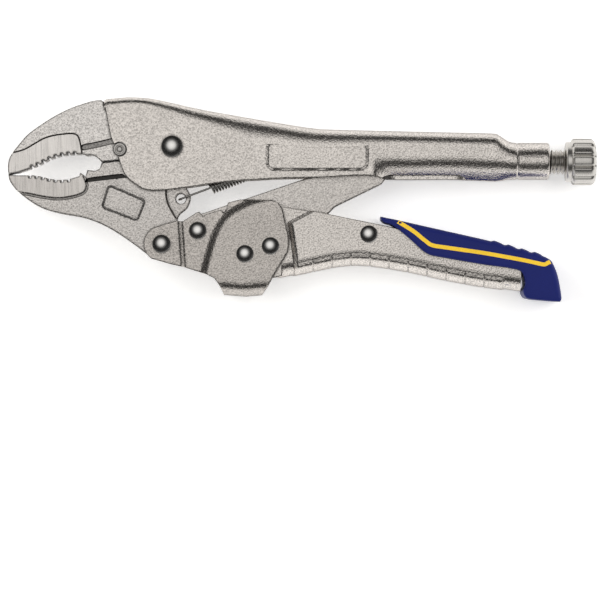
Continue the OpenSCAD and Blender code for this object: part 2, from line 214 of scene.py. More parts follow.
def notched(line, start, count, pitch, width, depth):
    """A line with a row of slots cut into it on its left side, from the length start on."""
    p = evenly(line, 0.3)
    along = np.concatenate([[0], np.cumsum(np.linalg.norm(np.diff(p, axis=0), axis=1))])

    def at(s):
        return np.array([np.interp(s, along, p[:, 0]), np.interp(s, along, p[:, 1])])

    out, s = [], 0.0
    for k in range(count):
        near, far = start + k * pitch, start + k * pitch + width
        out += [q for q, t in zip(p, along) if s <= t < near - 0.05]
        way = (at(far) - at(near)) / width
        left = np.array([-way[1], way[0]])
        out += [at(near), at(near) + left * depth + way * 0.12,
                at(far) + left * depth - way * 0.12, at(far)]
        s = far + 0.05
    return np.array(out + [q for q, t in zip(p, along) if t >= s])


# ---------- meshes ----------

def put(points):
    """Points of the drawing, in the row frame."""
    return np.asarray(points, float) * MM + np.array(MAIN)


def placed(name, data):
    """A new object in the scene."""
    obj = bpy.data.objects.new(name, data)
    bpy.context.scene.collection.objects.link(obj)
    return obj


def build(name, verts, faces, material, body, slot, nodes=(), sharp=32, even=True):
    """One piece of the tool from its vertices in the drawing."""
    mesh = bpy.data.meshes.new(name)
    mesh.from_pydata(put(verts).tolist(), [], faces)
    mesh.update()
    mesh.validate()
    mesh.polygons.foreach_set("use_smooth", [True] * len(mesh.polygons))
    mesh.set_sharp_from_angle(angle=math.radians(sharp))
    mesh.materials.append(material)
    piece = placed(name, mesh)
    if even:
        piece.modifiers.new("even_shading", "WEIGHTED_NORMAL").keep_sharp = True
    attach(piece, body)
    if nodes:
        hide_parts(*nodes)
    return piece


def loft(rings):
    """Faces between closed rings that all have the same number of points, and over both ends."""
    n = len(rings[0])
    verts = np.vstack(rings)
    faces = []
    for k in range(len(rings) - 1):
        for i in range(n):
            j = (i + 1) % n
            faces.append((k * n + i, k * n + j, (k + 1) * n + j, (k + 1) * n + i))
    faces.append(tuple(range(n - 1, -1, -1)))
    faces.append(tuple((len(rings) - 1) * n + i for i in range(n)))
    return verts, faces


def lathe(profile, turns, at):
    """A turned shape on an upright axis at the given place: profile holds (height, radius)."""
    angles = np.arange(turns) * 2 * math.pi / turns
    rings = []
    for height, radius in profile:
        r = np.full(turns, max(radius, 0.001))
        rings.append(np.stack([at[0] + r * np.cos(angles), at[1] + r * np.sin(angles),
                               np.full(turns, height)], 1))
    return loft(rings)


def several(*shapes):
    """Several shapes as one list of vertices and faces."""
    verts, faces = [], []
    for v, f in shapes:
        first = sum(len(x) for x in verts)
        verts.append(np.asarray(v, float))
        faces += [tuple(first + i for i in face) for face in f]
    return np.vstack(verts), faces


def mirrored(shape):
    """The same shape on the other side of the middle plane."""
    v, f = shape
    return np.asarray(v, float) * [1, 1, -1], [tuple(reversed(face)) for face in f]


def pressed(outline, front, back=None, holes=(), lines=(), step=1.5, rim=0.35, insets=(0.3, 1.0, 2.2)):
    """A plate with the given outline, whose front face stands front(points) above the middle plane.
    Without back the plate is solid and alike on both sides. With back it is a sheet whose inner face
    stands at back(points), once on each side. lines are lines that the surface turns along, each with
    the distance to both sides where it does. rim is the radius of the plate's rounded edge."""
    loops = [evenly(outline, 0.6, True)] + [evenly(h, 0.5, True) for h in holes]
    walls = [closed(loop) for loop in loops]

    def room(points):
        gap = np.full(len(points), 1e9)
        for wall in walls:
            gap = np.minimum(gap, nearest(points, wall)[0])
        ok = inside(points, loops[0])
        for hole in loops[1:]:
            ok &= ~inside(points, hole)
        return gap, ok

    more = []
    for loop in loops:
        left = left_of(np.roll(loop, -1, axis=0) - np.roll(loop, 1, axis=0))
        for share in insets:
            for side in (-1, 1):
                spots = loop + side * left * share * rim
                gap, ok = room(spots)
                more.append(spots[ok & (gap > 0.85 * share * rim)])
    for line, reach in lines:
        line = evenly(line, 0.4)
        left = left_of(np.gradient(line, axis=0))
        for side in sorted({-reach, reach}):
            spots = line + side * left
            gap, ok = room(spots)
            more.append(spots[ok & (gap > 0.2)])
    low, high = loops[0].min(0), loops[0].max(0)
    xs, ys = np.meshgrid(np.arange(low[0], high[0], step), np.arange(low[1], high[1], step))
    grid = np.stack([xs.ravel(), ys.ravel()], 1)
    gap, ok = room(grid)
    more.append(grid[ok & (gap > max(insets) * rim + 0.4)])
    more = np.vstack(more)
    kept = np.unique(np.round(more / 0.04).astype(int), axis=0, return_index=True)[1]
    more = more[np.sort(kept)]

    edges, first = [], 0
    for loop in loops:
        edges += [(first + k, first + (k + 1) % len(loop)) for k in range(len(loop))]
        first += len(loop)
    spots = np.vstack(loops + [more])
    made = delaunay_2d_cdt([Vector(p) for p in spots], edges, [], 0, 1e-6)
    flat = np.array([tuple(v) for v in made[0]])
    tris = np.array([tuple(f) for f in made[2]])
    heart = flat[tris].mean(1)
    ok = inside(heart, loops[0])
    for hole in loops[1:]:
        ok &= ~inside(heart, hole)
    tris = tris[ok]
    a, b, c = flat[tris[:, 0]], flat[tris[:, 1]], flat[tris[:, 2]]
    turn = (b[:, 0] - a[:, 0]) * (c[:, 1] - a[:, 1]) - (b[:, 1] - a[:, 1]) * (c[:, 0] - a[:, 0])
    tris[turn < 0] = tris[turn < 0][:, ::-1]

    gap = room(flat)[0]
    top = front(flat) - rounding(gap, rim)
    under = -top if back is None else np.minimum(back(flat), top - 0.01)
    n = len(flat)
    verts = np.vstack([np.column_stack([flat, top]), np.column_stack([flat, under])])
    faces = [tuple(t) for t in tris.tolist()]
    seen = dict.fromkeys((t[i], t[(i + 1) % 3]) for t in faces for i in range(3))
    faces += [(t[2] + n, t[1] + n, t[0] + n) for t in tris.tolist()]
    for i, j in list(seen):
        if (j, i) not in seen:
            faces.append((j, i, i + n, j + n))
    used = sorted({i for face in faces for i in face})
    place = {i: k for k, i in enumerate(used)}
    shape = verts[used], [tuple(place[i] for i in face) for face in faces]
    if back is None:
        return shape
    return several(shape, mirrored(shape))


def marked(piece, name, values):
    """A number for each vertex of a piece, which its material reads."""
    data = piece.data.attributes.new(name, "FLOAT", "POINT")
    data.data.foreach_set("value", np.asarray(values, np.float32))


def flat_points(piece):
    """The vertices of a piece, back in the drawing's plane."""
    co = np.array([v.co for v in piece.data.vertices], float)
    return ((co - np.array(MAIN)) / MM)[:, :2]


# ---------- materials ----------

class Nodes:
    """A short way to write node materials."""

    def __init__(self, name):
        self.material = bpy.data.materials.new(name)
        self.material.use_nodes = True
        self.tree = self.material.node_tree
        self.shader = self.tree.nodes["Principled BSDF"]
        self.here = self.add("ShaderNodeTexCoord").outputs["Object"]

    def add(self, kind, **settings):
        node = self.tree.nodes.new(kind)
        for key, value in settings.items():
            setattr(node, key, value)
        return node

    def link(self, source, target):
        self.tree.links.new(source, target)

    def stretched(self, x, y, z):
        """Object coordinates with a scale of their own along each axis."""
        node = self.add("ShaderNodeMapping")
        node.inputs["Scale"].default_value = (x, y, z)
        self.link(self.here, node.inputs["Vector"])
        return node.outputs["Vector"]

    def noise(self, scale, detail=3.0, rough=0.6, where=None):
        node = self.add("ShaderNodeTexNoise")
        node.inputs["Scale"].default_value = scale
        node.inputs["Detail"].default_value = detail
        node.inputs["Roughness"].default_value = rough
        self.link(where or self.here, node.inputs["Vector"])
        return node.outputs["Fac"]

    def ramp(self, value, *stops):
        node = self.add("ShaderNodeValToRGB")
        node.color_ramp.elements[0].position = stops[0][0]
        node.color_ramp.elements[-1].position = stops[-1][0]
        for place, _ in stops[1:-1]:
            node.color_ramp.elements.new(place)
        for element, (_, colour) in zip(node.color_ramp.elements, stops):
            level = colour if isinstance(colour, tuple) else (colour,) * 3
            element.color = (*level, 1.0)
        self.link(value, node.inputs["Fac"])
        return node.outputs["Color"]

    def mix(self, factor, first, second, blend="MIX"):
        node = self.add("ShaderNodeMix", data_type="RGBA", blend_type=blend)
        for socket, value in ((node.inputs[0], factor), (node.inputs[6], first), (node.inputs[7], second)):
            if isinstance(value, (int, float)):
                socket.default_value = value
            elif isinstance(value, tuple):
                socket.default_value = (*value, 1.0)
            else:
                self.link(value, socket)
        return node.outputs[2]

    def scaled(self, value, low, high):
        """A 0 to 1 value spread from low to high."""
        node = self.add("ShaderNodeMapRange")
        node.inputs["To Min"].default_value = low
        node.inputs["To Max"].default_value = high
        self.link(value, node.inputs["Value"])
        return node.outputs["Result"]

    def attribute(self, name):
        return self.add("ShaderNodeAttribute", attribute_name=name).outputs["Fac"]

    def painted_crevice_shade(self, reach, darkest=0.12):
        """Painted shade where two surfaces meet: 0 deep in a corner, 1 in the open."""
        node = self.add("ShaderNodeAmbientOcclusion", samples=6)
        node.inputs["Distance"].default_value = reach * MM
        return self.ramp(node.outputs["AO"], (0.42, darkest), (0.86, 1.0))

    def bump(self, height, depth, under=None):
        """A bump whose full height is depth millimetres."""
        node = self.add("ShaderNodeBump")
        node.inputs["Strength"].default_value = 1.0
        node.inputs["Distance"].default_value = depth * MM
        self.link(height, node.inputs["Height"])
        if under:
            self.link(under, node.inputs["Normal"])
        return node.outputs["Normal"]

    def finish(self, colour, rough, normal, metallic=0.0, edge=1.0):
        self.shader.inputs["Metallic"].default_value = metallic
        self.shader.inputs["Specular Tint"].default_value = (edge, edge, edge, 1.0)
        self.link(colour, self.shader.inputs["Base Color"])
        self.link(rough, self.shader.inputs["Roughness"])
        self.link(normal, self.shader.inputs["Normal"])
        return self.material


def shaded(colour, share):
    return tuple(c * share for c in colour)


GRAIN_SIZE = 1450.0
WAVE_SIZE = 38.0
PAINTED_SHADE_REACH = 1.6
EDGE_TINT = 0.45


def plated(name, colour, rough=0.24, grain=0.13, size=GRAIN_SIZE):
    """Satin nickel plate over blasted steel: a fine grain that sparkles, faint clouds, and painted shade in
    corners.
    """
    n = Nodes(name)
    fine = n.noise(size, 1.5, 0.5)
    clouds = n.noise(60.0, 3.0)
    tone = n.ramp(fine, (0.34, shaded(colour, 0.66)), (0.5, colour), (0.68, shaded(colour, 1.25)))
    tone = n.mix(0.2, tone, n.ramp(clouds, (0.35, shaded(colour, 0.84)), (0.7, shaded(colour, 1.1))))
    # Painted shade: the colour darkens in corners and recesses by ambient occlusion.
    tone = n.mix(1.0, tone, n.painted_crevice_shade(PAINTED_SHADE_REACH), "MULTIPLY")
    waves = n.bump(n.noise(WAVE_SIZE, 1.0), 0.5)
    return n.finish(tone, n.scaled(n.noise(size * 0.6), rough - 0.06, rough + 0.08),
                    n.bump(fine, grain, under=waves), metallic=1.0, edge=EDGE_TINT)


def jaw_steel(name, colour):
    """The jaws' plate, with the teeth's ground zone marked by the attribute ground, and painted shade in recesses
    marked by the attribute shade.
    """
    n = Nodes(name)
    fine = n.noise(GRAIN_SIZE, 1.5, 0.5)
    plain = n.ramp(fine, (0.34, shaded(colour, 0.68)), (0.5, colour), (0.68, shaded(colour, 1.22)))
    strokes = n.noise(1.0, 2.0, 0.6, n.stretched(1700.0, 60.0, 60.0))
    ground = n.ramp(strokes, (0.3, shaded(colour, 0.8)), (0.7, shaded(colour, 1.25)))
    where = n.attribute("ground")
    # Painted shade: the colour darkens in corners and recesses by ambient occlusion.
    tone = n.mix(1.0, n.mix(where, plain, ground), n.painted_crevice_shade(PAINTED_SHADE_REACH), "MULTIPLY")
    # Painted shade: where the attribute shade is set, the colour falls almost to black for the shadow in recesses.
    tone = n.mix(n.attribute("shade"), tone, shaded(colour, 0.07))
    rough = n.mix(where, n.scaled(n.noise(600.0), 0.2, 0.34), n.scaled(strokes, 0.2, 0.36))
    height = n.mix(where, fine, n.mix(0.7, fine, strokes))
    waves = n.bump(n.noise(WAVE_SIZE, 1.0), 0.4)
    return n.finish(tone, rough, n.bump(height, 0.12, under=waves), metallic=1.0, edge=EDGE_TINT)


def polished(name, colour, rough=0.13):
    """Bright pressed rivet heads with faint turning marks."""
    n = Nodes(name)
    marks = n.noise(600.0, 3.0)
    tone = n.ramp(marks, (0.3, shaded(colour, 0.93)), (0.7, colour))
    return n.finish(tone, n.scaled(marks, rough - 0.04, rough + 0.09), n.bump(marks, 0.004), metallic=1.0)


def turned_steel(name, colour, rough=0.27):
    """Plated steel with faint rings around the X axis."""
    n = Nodes(name)
    rings = n.noise(1.0, 2.0, 0.6, n.stretched(2600.0, 60.0, 60.0))
    fine = n.noise(1400.0, 2.0)
    tone = n.mix(0.35, n.ramp(rings, (0.3, shaded(colour, 0.86)), (0.7, shaded(colour, 1.05))),
                 n.ramp(fine, (0.3, shaded(colour, 0.85)), (0.7, colour)))
    return n.finish(tone, n.scaled(fine, rough - 0.06, rough + 0.1), n.bump(rings, 0.006), metallic=1.0)


def soft_plastic(name, colour, rough=0.46, size=2600.0, grain=0.02):
    """Moulded soft plastic with a fine even texture."""
    n = Nodes(name)
    fine = n.noise(size, 3.0, 0.55)
    clouds = n.noise(45.0, 2.0)
    tone = n.mix(0.4, n.ramp(fine, (0.3, shaded(colour, 0.8)), (0.7, shaded(colour, 1.12))),
                 n.ramp(clouds, (0.35, shaded(colour, 0.85)), (0.65, shaded(colour, 1.1))))
    n.shader.inputs["Specular IOR Level"].default_value = 0.25
    return n.finish(tone, n.scaled(fine, rough - 0.08, rough + 0.1), n.bump(fine, grain))


plate_look = plated("satin_plate", (0.70, 0.66, 0.625))
link_look = plated("link_plate", (0.66, 0.625, 0.595), rough=0.27)
bracket_look = plated("bracket_plate", (0.54, 0.505, 0.475), rough=0.25)
upper_look = jaw_steel("upper_jaw_plate", (0.72, 0.69, 0.665))
lower_look = jaw_steel("lower_jaw_plate", (0.62, 0.59, 0.565))
rivet_look = polished("polished_rivet", (0.8, 0.785, 0.77))
pin_look = turned_steel("pin_steel", (0.56, 0.54, 0.52))
wire_look = turned_steel("spring_wire", (0.45, 0.44, 0.42), rough=0.2)
screw_look = turned_steel("screw_plate", (0.64, 0.62, 0.59))
blue_look = soft_plastic("navy_soft_plastic", (0.010, 0.0165, 0.135))
yellow_look = soft_plastic("yellow_soft_plastic", (1.0, 0.65, 0.05), rough=0.5)


# ---------- fixed handle ----------

handle_top = height_of(smooth([
    (-30.4, 19.0), (-28.6, 20.5), (-25.1, 20.9), (-18.6, 21.4), (-9.9, 20.9), (-1.2, 19.2), (7.5, 17.2),
    (16.1, 15.5), (33.5, 12.5), (50.9, 9.6), (59.5, 8.3), (68.2, 7.6), (98.6, 6.8), (120.3, 6.3),
    (137.7, 5.9), (142, 5.3), (146.3, 3.6), (149.4, 2.2), (151, 2.0)]))
handle_low = height_of(joined(
    smooth([(-29.4, 18.3), (-28.6, 15.3), (-27.3, 8.3), (-26.4, 4.0), (-24.4, -1.2), (-22.4, -7.2),
            (-20.7, -11.6), (-18.6, -14.2), (-15.1, -16.8), (-12.1, -18.4), (-7.7, -19.0), (-1.2, -18.6),
            (7.5, -17.5), (16.1, -16.2), (24.8, -15.1), (33.5, -14.5), (46.5, -13.8), (63.9, -13.4),
            (81.2, -12.5), (88.0, -12.9), (94.3, -14.2), (120.3, -14.2), (133.3, -14.7), (142, -14.9),
            (148.5, -14.0), (151, -13.9)])))
NECK_Y, NECK_R, BORE = -6.15, 8.0, THREAD_R + 0.05
MORPH_FROM, MORPH_TO = 139.5, 149.4
TUBE_BELLY = 10.2
belly = smooth([(TUBE_BELLY, 0), (8.5, -0.16), (6.6, -0.72), (4.7, -1.75), (3.1, -3.0), (1.6, -4.35),
                (0.6, -5.3), (0.12, -5.95), (0, -6.6)], 3)
CURL_FROM, CURL_TO = 86.5, 97.0
WIDEN_FROM, WIDEN_OVER = 28, 64
BEND_DEPTHS = [-12, 12, 38, 90], [3.2, 4.6, 6.3, 6.0]
BEND_HEIGHTS = [-12, 12, 34, 60, 95], [3.4, 6.4, 10.5, 8.6, 6.2]
PANEL_FROM, PANEL_TO = 38, 87
PANEL_MIDDLE, PANEL_HALF, PANEL_CORNER = (62.6, -3.9), (21.6, 6.0), 3.2
PANEL_BORDER, PANEL_SINK = 0.26, 0.12
SLOT = LINK + 0.5
PIN_AT = middle("jaw_pin")


def panel_height(x, y):
    """A plain raised border on the side of the handle, and how far it stands out."""
    if not PANEL_FROM < x < PANEL_TO:
        return 0
    px = abs(x - PANEL_MIDDLE[0]) - (PANEL_HALF[0] - PANEL_CORNER)
    py = abs(y - PANEL_MIDDLE[1]) - (PANEL_HALF[1] - PANEL_CORNER)
    far = math.hypot(max(px, 0), max(py, 0)) + min(max(px, py), 0) - PANEL_CORNER
    return PANEL_BORDER * max(0.0, 1 - abs(far) / 0.6) - PANEL_SINK * min(max(-far / 0.9, 0.0), 1.0)


def handle_ring(x):
    """The handle's C-shaped section at x: up the +Z side outside, over the top, and back inside."""
    t = SHEET
    h = float(HEAD + (TUBE - HEAD) * step_up((x - WIDEN_FROM) / WIDEN_OVER))
    r = float(np.interp(x, *BEND_DEPTHS))
    tall = float(np.interp(x, *BEND_HEIGHTS))
    top = float(handle_top(x))
    low = min(float(handle_low(x)), top - tall - 0.6)
    curl = float(step_up((x - CURL_FROM) / (CURL_TO - CURL_FROM)))
    slot = float(np.interp(x, [125, 130], [SLOT, 0.04]))
    slope = float(handle_low(x + 0.1) - handle_low(x - 0.1)) / 0.2
    c = 0.35 * min(math.hypot(1, slope), 5)
    bend = low + TUBE_BELLY

    def path(lift):
        """From the lower end of the sheet up to the side, open and curled. lift is 0 outside."""
        round_part = belly[::-1]
        round_part = round_part - left_of(np.gradient(round_part, axis=0)) * lift + [low, h]
        flat = [(low + lift, z) for z in np.linspace(min(slot + 0.35, h - 6.7), h - 6.7, 3)]
        curled = np.vstack([flat, round_part])
        straight = [(y, h - lift + (panel_height(x, y) if lift == 0 else 0))
                    for y in np.linspace(low + c, min(bend, top - tall - 0.2), len(curled))]
        return np.array(straight) * (1 - curl) + curled * curl

    open_rim = [(low + 0.3 * c, h - t + 0.1), (low, h - t + 0.35), (low, h - 0.35), (low + 0.3 * c, h - 0.1)]
    curled_rim = [(low + t - 0.1, slot + 0.1), (low + t - 0.35, slot),
                  (low + 0.35, slot), (low + 0.1, slot + 0.1)]
    edge = np.array(open_rim) * (1 - curl) + np.array(curled_rim) * curl
    side = np.linspace(min(bend, top - tall - 0.2), top - tall, 26)[1:-1]
    outer = [(y, h + panel_height(x, y)) for y in side]
    turn = [(top - tall + tall * math.sin(a), h - r + r * math.cos(a))
            for a in np.linspace(0, math.pi / 2, 14)]
    crown = [(top, z) for z in np.linspace(h - r, 0, 4)[1:]]
    inner_r, inner_tall = max(r - t, 0.4), max(tall - t, 0.4)
    inner_side = [(y, h - t) for y in side[::5]]
    inner_turn = [(top - t - inner_tall + inner_tall * math.sin(a), h - t - inner_r + inner_r * math.cos(a))
                  for a in np.linspace(0, math.pi / 2, 5)]
    inner_crown = [(top - t, z) for z in np.linspace(h - t - inner_r, 0, 3)[1:]]
    inside_part = np.vstack([path(t), inner_side, inner_turn, inner_crown])
    outside_part = np.vstack([path(0), outer, turn, crown])
    morph = float(step_up((x - MORPH_FROM) / (MORPH_TO - MORPH_FROM)))
    if morph > 0:
        for part, radius in ((inside_part, BORE), (outside_part, neck_radius(x)), (edge, None)):
            y, z = part[:, 0] - NECK_Y, part[:, 1]
            a = np.arctan2(np.maximum(z, 0.03), y)
            target = radius if radius else np.linspace(BORE, neck_radius(x), len(part))
            part[:, 0] = NECK_Y + y * (1 - morph) + target * np.cos(a) * morph
            part[:, 1] = z * (1 - morph) + target * np.sin(a) * morph
    half = np.vstack([inside_part[::-1], edge, outside_part])
    ring = np.vstack([half, (half * [1, -1])[::-1][1:-1]])
    return np.column_stack([np.full(len(ring), x), ring])


def neck_radius(x):
    """The neck's outer radius: a pressed crease where it starts, and a rounded end."""
    crease = 0.28 * math.exp(-((x - MORPH_TO) / 0.35) ** 2)
    end = float(rounding(NECK_END - x, 0.9))
    return NECK_R - crease - end


stations = np.concatenate([
    np.arange(-29.4, -11, 0.3), np.arange(-11, 38, 1.4), np.arange(38, 87, 0.45), np.arange(87, 100, 0.6),
    np.arange(100, 138, 2.0), np.arange(138, 148.5, 0.7), np.arange(148.5, 150.5, 0.2),
    np.arange(150.5, 162, 1.5), [162.0, 162.4, 162.7, 162.9, 163.05, 163.14, NECK_END]])
handle = build("fixed_handle_shell", *loft([handle_ring(x) for x in stations]), plate_look,
               "fixed_side", "plate_steel", ["fixed_handle"])
cutter_tool = bpy.data.meshes.new("notch")
v, f = lathe([(-20, 3.3), (20, 3.3)], 48, at=PIN_AT)
cutter_tool.from_pydata(put(v).tolist(), [], f)
notch = placed("notch", cutter_tool)


def cut(piece, tool):
    """Takes the tool's shape out of the piece, for good."""
    change = piece.modifiers.new("cut", "BOOLEAN")
    change.operation, change.solver, change.object = "DIFFERENCE", "EXACT", tool
    while piece.modifiers[0] != change:
        piece.modifiers.move(len(piece.modifiers) - 1, 0)
    bpy.context.view_layer.update()
    shown = [m for m in piece.modifiers if m != change]
    for m in shown:
        m.show_viewport = False
    made = bpy.data.meshes.new_from_object(piece.evaluated_get(bpy.context.evaluated_depsgraph_get()))
    for m in shown:
        m.show_viewport = True
    piece.modifiers.remove(change)
    piece.data = made
    made.set_sharp_from_angle(angle=math.radians(32))


cut(handle, notch)
bpy.data.objects.remove(notch)


# ---------- upper jaw ----------

gap_top = smooth([(-66.5, -11.2), (-59, -8.5), (-51.5, -4.9), (-45.5, -3.6), (-38.6, -3.2)])
gap_rear = smooth([(-37.2, -3.9), (-34.2, -3.8), (-31.9, -5.3), (-30.7, -6.7)])
TOOTH, TOOTH_WIDTH, TOOTH_DEPTH = 2.8, 1.2, 1.15
GROUND_DEPTH, LINE_DEPTH, BAR_DEPTH = 0.25, 0.5, 1.6
upper_outline = joined(
    notched(gap_top, 5.6, 8, TOOTH, TOOTH_WIDTH, TOOTH_DEPTH),
    gap_rear, [(-22.0, -5.75)], arc((0, 0), 14.6, 199, 118, 20), [(-8, 17.3), (-29.4, 17.3)],
    smooth([(-29.6, 19.4), (-31.2, 20.1), (-35.9, 19.4), (-44.6, 16.4), (-53.3, 11.8), (-62, 5.7),
            (-66.3, 1), (-69.4, -3), (-70.7, -5.6), (TIP_X, -9), (-70.9, -12.05)]))
upper_ground = smooth([(-70.2, -3.4), (-68.5, -2.5), (-64.1, -1.2), (-59.8, 1.2), (-55.5, 3.6), (-51.1, 4.9),
                       (-46.8, 5.5), (-43.3, 5.7), (-41.1, 4.9), (-40.1, 2.7), (-39.4, -0.8), (-39.0, -3.4)])
upper_bar = smooth([(-38.4, -0.3), (-32, 1.0), (-25, 2.7)])


def upper_front(p):
    far, side = nearest(p, upper_ground)
    ground = np.clip(0.5 - far * side / 0.7, 0, 1)
    bar, _ = nearest(p, upper_bar)
    return (UPPER - GROUND_DEPTH * ground - LINE_DEPTH * np.clip(1 - far / 0.35, 0, 1)
            - BAR_DEPTH * np.clip((1.35 - bar) / 0.4, 0, 1))


upper = build("upper_jaw_forging", *pressed(
    upper_outline, upper_front, lines=[(upper_ground, 0), (upper_ground, 0.35), (upper_bar, 1.35),
                                       (upper_bar, 0.95)], step=1.2, rim=0.45),
    upper_look, "fixed_side", "jaw_steel", ["upper_jaw"])
spots = flat_points(upper)
far, side = nearest(spots, upper_ground)
marked(upper, "ground", step_up((0.4 - far * side) / 0.8) * (spots[:, 0] < -38.6))
# Painted shade over the recessed cutter bar.
marked(upper, "shade", 0.55 * np.clip((1.3 - nearest(spots, upper_bar)[0]) / 0.3, 0, 1))


# ---------- lower jaw ----------

gap_low = smooth([(-66.5, -12.4), (-59, -12.5), (-52, -14.0), (-46, -14.2), (-40.4, -12.8)])
FRONT = pivot("handle_open")
EYE, EYE_R = (3.6, -22.5), 2.1
TAB_HALF = 1.5
GROOVE_DEPTH, SLOT_DEPTH, BADGE_RISE = 0.9, 3.0, 0.17
lower_outline = joined(
    notched(gap_low[::-1], 4.2, 7, TOOTH, TOOTH_WIDTH, TOOTH_DEPTH)[::-1],
    [(-39.8, -11.2), (-37.6, -12.9), (-36.8, -10.1), (-33.4, -10.4), (-31.4, -9.4), (-30.6, -6.95),
     (-22.0, -5.95), (-14.0, -5.05)],
    arc((0, 0), 14.2, 201, -62, 60),
    smooth([(6.2, -18.0), (7.9, -21.8), (6.4, -26.4), (2.8, -29.8), (1.9, -34.0)]),
    arc(FRONT, 6.6, 20, -112, 20),
    smooth([(-9.3, -48.1), (-12.1, -45.7), (-20.7, -39.4), (-29.4, -34.2), (-38, -30.9), (-49.0, -28.8),
            (-57.6, -26.0), (-66.3, -19.9), (-70.2, -15.1), (-70.95, -12.15)]))
lower_ground = smooth([(-70.0, -17.6), (-66.3, -19.4), (-62, -20.1), (-55.5, -21.4), (-49, -22), (-42.4, -21),
                       (-38.5, -19.4), (-37.5, -17.3), (-37.7, -15.5), (-38.9, -12.6)])
slot_band = joined(smooth([(-37.7, -15.5), (-36.8, -13.6), (-29, -12.4), (-21.6, -11.6)]),
                   smooth([(-19.4, -13.4), (-28, -14.4), (-37.7, -15.5)]))
badge = joined(*[arc((x, y), 1.8, a, a + 90, 6) for x, y, a in (
    (-14.0, -24.2, 0), (-26.4, -18.8, 90), (-28.3, -25.0, 180), (-16.2, -29.6, 270))])
tab_line = smooth([(-3.1, -12.5), (-2.9, -18.6), (-2.6, -22.5), (-1.4, -26.0), (1.0, -30.2), (2.4, -32.4)])


def lower_front(p):
    far, side = nearest(p, lower_ground)
    groove = np.clip(far / 0.3, 0, 1) * np.clip((1.25 - far) / 0.3, 0, 1) * (side < 0)
    ground = (side > 0) * np.clip(far / 0.3, 0, 1)
    slot = np.where(inside(p, slot_band), 1.0, 0.0) * np.clip(nearest(p, closed(slot_band))[0] / 0.3, 0, 1)
    frame_far = nearest(p, closed(badge))[0]
    frame_line = np.clip(1 - frame_far / 0.45, 0, 1) - 0.6 * np.clip(1 - np.abs(frame_far - 0.9) / 0.45, 0, 1)
    tab, tab_side = nearest(p, tab_line)
    thin = step_up((0.35 + tab * tab_side) / 0.7) * (p[:, 1] < -15.4) * (p[:, 1] > -32.6) * (p[:, 0] > -3.2)
    face = JAW - 0.3 - 0.2 * ground - GROOVE_DEPTH * groove - SLOT_DEPTH * slot + BADGE_RISE * frame_line
    return face * (1 - thin) + TAB_HALF * thin


lower = build("lower_jaw_forging", *pressed(
    lower_outline, lower_front, holes=[arc(EYE, EYE_R, 0, 360, 32)[:-1]],
    lines=[(lower_ground, 0), (lower_ground, 0.3), (lower_ground, 0.95), (lower_ground, 1.25),
           (closed(slot_band), 0), (closed(slot_band), 0.3), (closed(badge), 0), (closed(badge), 0.45),
           (closed(badge), 0.9), (closed(badge), 1.35), (tab_line, 0.35)],
    step=1.2, rim=0.45), lower_look, "jaw", "jaw_steel", ["lower_jaw"])
spots = flat_points(lower)
far, side = nearest(spots, lower_ground)
marked(lower, "ground", step_up((0.4 + far * side) / 0.8) * (spots[:, 0] < -37.6))
# Painted shade inside the recessed slot band under the cutter.
marked(lower, "shade", inside(spots, slot_band) * np.clip(nearest(spots, closed(slot_band))[0] / 0.2, 0, 1))


# ---------- bracket ----------

BRACKET_FLOOR = [(22.4, -64.2), (31.5, -64.9), (38.7, -64.3)]
bracket_outline = joined(
    [(4.6, -32.4), (1.8, -32.1), (-5.6, -34.3)], arc(FRONT, 7.7, 96, 236, 24),
    [(-1.2, -50.7), (4.6, -52.0), (15.0, -55.3)], smooth([(18.3, -57.0), (20.6, -60.4), (22.4, -64.2)]),
    [(31.5, -64.9), (38.7, -64.3)],
    smooth([(41.2, -60.4), (45.2, -53.3), (49.6, -45.9), (50.3, -41.6), (50.0, -38.1), (48.7, -32.5),
            (47.8, -28.1), (46.1, -24.7), (43.5, -23.3)]),
    [(33.0, -22.9), (29.2, -23.0), (24.0, -24.3), (23.5, -27.2), (22.2, -28.6), (20.9, -27.4),
     (14.4, -29.4), (13.5, -30.4), (11.8, -28.2), (10.5, -28.6)])
jog_front = np.array([(2.9, -28.0), (3.4, -31.0), (4.9, -52.4), (5.1, -56)])
jog_rear = smooth([(46, -21.5), (38.0, -23.0), (32.0, -24.9), (25.1, -28.7), (20.7, -33.7), (18.0, -39.4),
                   (16.0, -45.7), (14.2, -52.2), (13.0, -57.5)])
closed_edge = np.array([(5.2, -52.2), (15.0, -55.3), (18.3, -57.0), (20.6, -60.4)] + BRACKET_FLOOR)
floor_y = height_of(BRACKET_FLOOR)
BRACKET_BEND = 6.3
FRONT_JOG, REAR_JOG = 2.8, 4.6


def bracket_half(p, inset):
    first, first_side = nearest(p, jog_front)
    second, second_side = nearest(p, jog_rear)
    level = (NOSE + (WAIST - NOSE) * step_up(0.5 + first * first_side / FRONT_JOG)
             + (CHEEK - WAIST) * step_up(0.5 + second * second_side / REAR_JOG)) - inset
    drop = rounding(np.maximum(p[:, 1] - floor_y(p[:, 0]) - inset, 0), BRACKET_BEND - inset)
    return level - drop * (p[:, 0] > 15)


def bracket_front(p):
    return bracket_half(p, 0.0)


def bracket_back(p):
    half = bracket_half(p, LEVER_SHEET)
    return np.where(nearest(p, closed_edge)[0] < LEVER_SHEET, 0.0, half)


bend_lines = [(np.array(BRACKET_FLOOR) + [0, d], 0) for d in (0.08, 0.3, 0.7, 1.2, 1.8, 2.6, 3.6, 4.8, 6.2)]
build("bracket_shell", *pressed(
    bracket_outline, bracket_front, bracket_back,
    lines=[(jog_front, FRONT_JOG / 2), (jog_front, FRONT_JOG / 4), (jog_rear, REAR_JOG / 2), (jog_rear, 1.5),
           (jog_rear, 0.75), (jog_rear, 0), (jog_front, 0)] + bend_lines,
    step=1.3, rim=0.3), bracket_look, "bracket_side", "plate_steel", ["bracket"])


# ---------- link ----------

